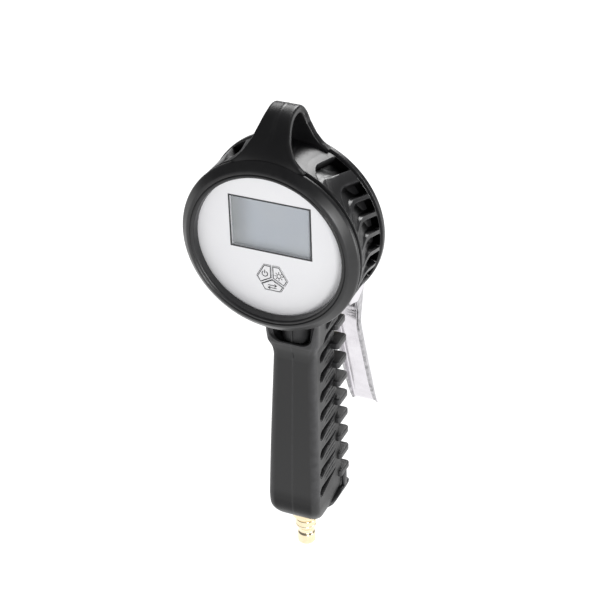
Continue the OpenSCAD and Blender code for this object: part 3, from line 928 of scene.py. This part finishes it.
# Rounded outlines stacked by height, closed to a point below and above
def stackedPlate(levels, cols):
    cx, cy, nx, ny = (cols[:, k][None, :] for k in range(4))
    rows = np.array(levels, float)
    z, half, front, back, r = (rows[:, k][:, None] for k in range(5))
    x = cx * (half - r) + nx * r
    y = (front + back) / 2 + cy * ((back - front) / 2 - r) + ny * r
    grid = np.stack([x, y, z + 0 * x], -1)
    # proud edges get the finish's edge colour: a painted highlight on the rubber fins, a painted dark
    # reflection on the chrome pad
    edge = proudEdges(grid, False, True, 1.0, 1.2)
    low = np.repeat(grid[0].mean(0)[None, :], grid.shape[1], 0)[None]
    high = np.repeat(grid[-1].mean(0)[None, :], grid.shape[1], 0)[None]
    grid = np.concatenate([low, grid, high])
    edge = np.concatenate([edge[:1] * 0, edge, edge[:1] * 0])
    return grid, gridFaces(*grid.shape[:2]), edge


# A level list whose edges are rolled by a quarter circle of the given radius
def rolledLevels(z0, z1, half, front, back, corner, edge, steps=5):
    a = np.radians(np.linspace(0, 90, steps))
    rise, inset = edge * (1 - np.cos(a)), edge * (1 - np.sin(a))
    low = [(z0 + d, half - i, front + i, back - i, corner - i * 0.8) for d, i in zip(rise, inset)]
    high = [(z1 - d, half - i, front + i, back - i, corner - i * 0.8) for d, i in zip(rise, inset)]
    return low + high[::-1]


def gripFins(f):
    cols = roundedColumns(16, 6, 8)
    parts = []
    for i in range(1, f["count"]):
        z = f["low"] + f["step"] * i
        grow = 0.0 if i < f["count"] - 1 else -0.4
        levels = rolledLevels(z, z + f["thick"], f["half"] + grow, f["front"], f["back"], f["corner"], 0.7)
        parts.append(stackedPlate(levels, cols))
    heel = [
        (21.9, 8.0, 3.0, 12.5, 3.0),
        (22.2, 10.5, 2.6, 16.0, 3.0),
        (23.2, 13.2, 2.4, 19.2, 3.0),
        (24.8, 15.0, 3.0, 22.0, 2.8),
        (26.8, 16.3, 5.0, 24.2, 2.6),
        (28.6, 17.0, 9.0, 25.3, 2.2),
        (29.7, 17.0, 12.0, 25.5, 1.9),
        (30.2, 16.7, 13.0, 25.2, 1.8),
        (30.4, 16.2, 13.8, 24.7, 1.6),
    ]
    parts.append(stackedPlate(heel, cols))
    for s in (-1, 1):
        post = rolledLevels(29.6, 39.8, 1.1, 17.4, 21.6, 0.95, 0.4, 3)
        grid, faces, edge = stackedPlate(post, roundedColumns(2, 2, 4))
        parts.append((grid + [s * 15.9, 0, 0], faces, edge))
    return parts


putPiece("gripShell", gripShell(grip), gripRubber, "body", ["grip_sleeve"], 50)
putPiece("gripFins", gripFins(fins), gripRubber, "body", (), 50)


lever = {
    "half": 8.2,
    "sheet": 1.8,
    "bend": 2.6,  # outer radius where web and flange meet
    # back edge and free edge of the side, from the web's top down to the tip, y and z
    "webLine": [
        (73.4, 133.5),
        (71.6, 125.5),
        (69.3, 116.0),
        (69.6, 107.5),
        (78.4, 79.3),
        (85.6, 56.6),
        (91.8, 37.2),
    ],
    "freeLine": [
        (61.2, 127.0),
        (62.9, 121.0),
        (63.4, 114.0),
        (64.2, 106.5),
        (73.4, 77.8),
        (81.0, 55.2),
        (88.4, 38.6),
    ],
}


# A U-shaped sheet section carried down the lever: flange, bend, web, bend, flange, with an inner
# and an outer skin a sheet apart; the flange's free edge follows its own line
def leverChannel(v):
    web, free = throughPoints(v["webLine"], 150), throughPoints(v["freeLine"], 150)
    deep = free - web
    depth = np.linalg.norm(deep, axis=1, keepdims=True)
    inward = deep / depth
    t, rOut, count = v["sheet"], v["bend"], len(web)
    rIn = rOut - t

    def everyRow(values):
        return np.repeat(values[None, :], count, 0)

    def skin(halfX, r, back):
        a = np.radians(np.linspace(0, 90, 8))
        side = np.linspace(1, 0, 8)[:-1][None, :]
        start = np.full(7, halfX)
        d1 = (depth - r - back) * side + r + back  # down the flange
        bendX = halfX - r + r * np.cos(a)
        bendD = back + r - r * np.sin(a)
        x = np.concatenate([everyRow(start), everyRow(bendX)], 1)
        d = np.concatenate([d1, everyRow(bendD)], 1)
        flat = np.linspace(halfX - r, -(halfX - r), 15)[1:-1]
        x = np.concatenate([x, everyRow(flat), -x[:, ::-1]], 1)
        d = np.concatenate([d, np.full((count, len(flat)), back), d[:, ::-1]], 1)
        return x, d

    xo, do = skin(v["half"], rOut, 0.0)
    xi, di = skin(v["half"] - t, rIn, t)
    a = np.radians(np.linspace(0, 180, 7))[1:-1]  # the free edges are rolled a little
    midX, roll = v["half"] - t / 2, t / 2
    roundX = midX - roll * np.cos(a)
    roundD = depth + 0.5 * np.sin(a)[None, :]
    x = np.concatenate([xo, everyRow(-roundX[::-1]), xi[:, ::-1], everyRow(roundX)], 1)
    d = np.concatenate([do, roundD[:, ::-1], di[:, ::-1], roundD], 1)
    # a small curl outward and rounded flange corners at the tip
    near = np.linspace(0, 1, count)[:, None]
    tip = np.clip((near - 0.94) / 0.06, 0, 1)
    d = np.where(d > t + 0.4, t + 0.4 + (d - t - 0.4) * np.sqrt(np.clip(1 - tip**2 * 0.9, 0.02, 1)), d)
    curl = 1.3 * np.clip((near - 0.965) / 0.035, 0, 1) ** 2 * (np.abs(x) < v["half"])
    y = web[:, 0][:, None] + inward[:, 0][:, None] * d + curl
    z = web[:, 1][:, None] + inward[:, 1][:, None] * d
    grid = np.stack([x, y, z], -1)
    edge = 0.9 * ease((d - 2.2) / 1.4)  # the flanges are painted darker than the web, a painted dark reflection
    parts = [(grid, gridFaces(*x.shape), edge)]
    # ends close the section between its two skins
    n, m = xo.shape[1], x.shape[1]
    outerIndex = np.arange(n)
    innerIndex = n + len(a) + np.arange(n)[::-1]
    for row in (0, count - 1):
        strip = np.stack([grid[row, outerIndex], grid[row, innerIndex]])
        parts.append((strip, gridFaces(2, n, False, False)))
        cap = np.vstack([grid[row, outerIndex[-1]], grid[row, n : n + len(a)], grid[row, innerIndex[-1]]])
        cap2 = np.vstack([grid[row, innerIndex[0]], grid[row, m - len(a) :], grid[row, outerIndex[0]]])
        for loop in (cap, cap2):
            fan = np.stack([loop, np.repeat(loop.mean(0)[None, :], len(loop), 0)])
            parts.append((fan, gridFaces(2, len(loop), False, True)))
    return parts


ears = {
    "webLine": [(66.5, 147.3), (69.6, 146.3), (71.6, 143.2), (71.9, 139.0), (73.4, 133.5)],
    "freeLine": [
        (66.4, 147.3),
        (63.4, 146.3),
        (61.4, 143.2),
        (60.6, 140.0),
        (55.2, 136.4),
        (51.4, 134.6),
        (50.9, 132.4),
        (51.6, 130.6),
        (56.0, 129.2),
        (61.2, 127.0),
    ],
}


# Two cheek plates: straight lines between the back and the front outline, given the sheet's
# thickness with rounded edges
def leverEars(v, e):
    back, front = throughPoints(e["webLine"], 60), throughPoints(e["freeLine"], 60)
    across = np.concatenate([[0, 0.02], np.linspace(0.06, 0.94, 10), [0.98, 1]])
    thin = np.array([0.35, 0.85] + [1.0] * 10 + [0.85, 0.35])
    flat = back[:, None] * (1 - across)[None, :, None] + front[:, None] * across[None, :, None]
    parts = []
    for s in (-1, 1):
        mid, t = s * (v["half"] - v["sheet"] / 2), v["sheet"] / 2
        one = np.concatenate([np.full((60, 14, 1), mid) + t * thin[None, :, None], flat], 2)
        two = np.concatenate([np.full((60, 14, 1), mid) - t * thin[None, :, None], flat], 2)
        grid = np.concatenate([one, two[:, ::-1]], 1)
        # proud edges get the chrome's edge colour, a painted dark reflection
        parts.append((grid, gridFaces(60, 28), proudEdges(grid, False, True, 1.0, 0.6)))
        for row in (0, 59):
            strip = np.stack([one[row], two[row]])
            parts.append((strip, gridFaces(2, 14, False, False)))
    pad = rolledLevels(131.2, 133.0, v["half"] - 1.0, 51.2, 61.0, 1.2, 0.4, 3)
    parts.append(stackedPlate(pad, roundedColumns(4, 4, 4)))
    return parts


putPiece("leverChannel", leverChannel(lever), chromeLever, "lever", ["trigger_lever"], 50)
putPiece("leverEars", leverEars(lever, ears), chromeLever, "lever", (), 50)


plug = {
    # radius and height down the outside, then back up the bore, with corner cuts
    "outline": [
        (7.6, 17.7, 0.2),
        (6.9, 17.5, 0.1),
        (6.35, 17.45, 0.05),
        (6.35, 16.9, 0.1),
        (4.9, 16.6, 0.2),
        (4.9, 15.95, 0.2),
        (5.95, 15.4, 0.5),
        (5.95, 12.35, 0.1),
        (5.78, 12.15, 0.08),
        (5.78, 11.9, 0.08),
        (5.95, 11.7, 0.1),
        (5.95, 10.4, 0.4),
        (4.9, 9.3, 0.6),
        (4.2, 8.4, 0.5),
        (4.2, 6.2, 0.5),
        (5.1, 5.1, 0.5),
        (5.15, 3.6, 0.3),
        (5.15, -0.6, 0.5),
        (4.5, -1.4, 0.4),
        (3.5, -1.4, 0.2),
        (3.4, -1, 0.2),
        (3.4, 30, 0.1),
        (6.45, 30, 0.3),
        (6.45, 24.15, 0.1),
        (7.6, 24.1, 0.2),
    ],
}


# A section turned about the plug's axis; fine tool rings wave the radius by a few microns
def plugTurned(p):
    corners = np.array(p["outline"])
    line = fillIn(softCorners(corners[:, :2], corners[:, 2], 5), lambda mid: np.full(len(mid), 0.45))
    r = line[:, 0] + 0.008 * np.sin(line[:, 1] * 9.0) * (line[:, 0] > 4.4)
    turn = np.linspace(0, 2 * np.pi, 96, endpoint=False)[None, :]
    grid = np.stack([r[:, None] * np.cos(turn), r[:, None] * np.sin(turn), line[:, 1:] + 0 * turn], -1)
    edge = proudEdges(grid, True, True, -1.0, 0.8)
    return [(grid, gridFaces(*grid.shape[:2], True, True), edge)]


putPiece("plugTurned", plugTurned(plug), brassBright, "body", ["inlet_plug"], 40)


marks = {"frontOfKeys": -30.3, "thick": 0.07, "middleZ": faceZ - 19.5, "hexRadius": 9.1}


# A flat ribbon along each outline, a little proud of the surface; corners are mitred
def ribbon(points, width, closed, front, thick):
    p = np.asarray(points, float)
    if closed:
        before, after = np.roll(p, 1, 0), np.roll(p, -1, 0)
    else:
        before, after = np.vstack([2 * p[0] - p[1], p[:-1]]), np.vstack([p[1:], 2 * p[-1] - p[-2]])
    d1, d2 = p - before, after - p
    d1 /= np.linalg.norm(d1, axis=1, keepdims=True)
    d2 /= np.linalg.norm(d2, axis=1, keepdims=True)
    side = np.stack([-(d1 + d2)[:, 1], (d1 + d2)[:, 0]], 1)
    side /= np.maximum(np.linalg.norm(side, axis=1, keepdims=True), 1e-9)
    mitre = np.clip(1 / np.maximum((side * np.stack([-d1[:, 1], d1[:, 0]], 1)).sum(1), 0.3), 1, 2.5)
    a, b = p + side * (width / 2 * mitre)[:, None], p - side * (width / 2 * mitre)[:, None]

    def at(q, y):
        return np.stack([q[:, 0], np.full(len(q), y), q[:, 1]], 1)

    grid = np.stack([at(a, front), at(b, front), at(b, front - thick), at(a, front - thick)], 1)
    parts = [(grid, gridFaces(len(p), 4, closed, True))]
    if not closed:
        for row in (0, -1):
            parts.append((grid[row], np.array([[0, 1, 2, 3]])))
    return parts


# The outline of a third of the keypad: middle, half edge, two corners, half edge, pulled inward
def keyOutline(turn, inset):
    m = marks
    corner = np.radians(np.array([30, 90]) + turn)
    apothem = m["hexRadius"] * math.cos(math.radians(30))
    halfEdge = np.radians(np.array([0, 120]) + turn)
    ring = [
        (0.0, 0.0),
        (apothem * math.cos(halfEdge[0]), apothem * math.sin(halfEdge[0])),
        (m["hexRadius"] * math.cos(corner[0]), m["hexRadius"] * math.sin(corner[0])),
        (m["hexRadius"] * math.cos(corner[1]), m["hexRadius"] * math.sin(corner[1])),
        (apothem * math.cos(halfEdge[1]), apothem * math.sin(halfEdge[1])),
    ]
    p = np.array(ring)
    centre = p.mean(0)
    after = np.roll(p, -1, 0)
    along = after - p
    along /= np.linalg.norm(along, axis=1, keepdims=True)
    normal = np.stack([-along[:, 1], along[:, 0]], 1)
    normal *= np.sign(((centre - p) * normal).sum(1))[:, None]
    offset = (p * normal).sum(1) + inset
    last, lastOffset = np.roll(normal, 1, 0), np.roll(offset, 1)
    det = last[:, 0] * normal[:, 1] - last[:, 1] * normal[:, 0]
    x = (lastOffset * normal[:, 1] - offset * last[:, 1]) / det
    z = (last[:, 0] * offset - normal[:, 0] * lastOffset) / det
    return np.stack([x, z + m["middleZ"]], 1)


def circlePoints(cx, cz, r, start=0, end=360, count=32):
    a = np.radians(np.linspace(start, end, count, endpoint=(end - start) < 360))
    return np.stack([cx + r * np.cos(a), cz + r * np.sin(a)], 1)


def keyMarks(m):
    front, thick, z = m["frontOfKeys"], m["thick"], m["middleZ"]
    # power: an open ring and a bar
    cx, cz = -4.0, z + 2.2
    power = ribbon(circlePoints(cx, cz, 1.55, 125, 415, 30), 0.5, False, front, thick)
    power += ribbon([(cx, cz + 0.3), (cx, cz + 2.3)], 0.55, False, front, thick)
    # light: a sun with eight rays
    cx = 4.0
    light = ribbon(circlePoints(cx, cz, 1.15), 0.4, True, front, thick)
    for a in np.radians(np.arange(0, 360, 45)):
        ray = [(cx + k * math.cos(a), cz + k * math.sin(a)) for k in (1.65, 2.5)]
        light += ribbon(ray, 0.42, False, front, thick)
    # unit: two arrows that change places
    cz = z - 4.9
    unit = []
    for s in (-1, 1):
        unit += ribbon([(-2.4 * s, cz + 0.75 * s), (2.2 * s, cz + 0.75 * s)], 0.42, False, front, thick)
        head = [(1.2 * s, cz + 1.65 * s), (2.4 * s, cz + 0.75 * s), (1.2 * s, cz - 0.05 * s)]
        unit += ribbon(head, 0.42, False, front, thick)
    for name, body, turn, parts in (
        ("powerMark", "power_key", 90, power),
        ("lightMark", "light_key", -30, light),
        ("unitMark", "unit_key", 210, unit),
    ):
        border = ribbon(keyOutline(turn, 0.75), 0.42, True, front, thick)
        putPiece(name, parts + border, printInk, body)
    frameZ = faceZ + 10.8
    corners = [(-22.5, frameZ - 14.8), (22.5, frameZ - 14.8), (22.5, frameZ + 14.8), (-22.5, frameZ + 14.8)]
    putPiece("windowBorder", ribbon(corners, 0.9, True, faceY, 0.06), printInk, "body")


keyMarks(marks)
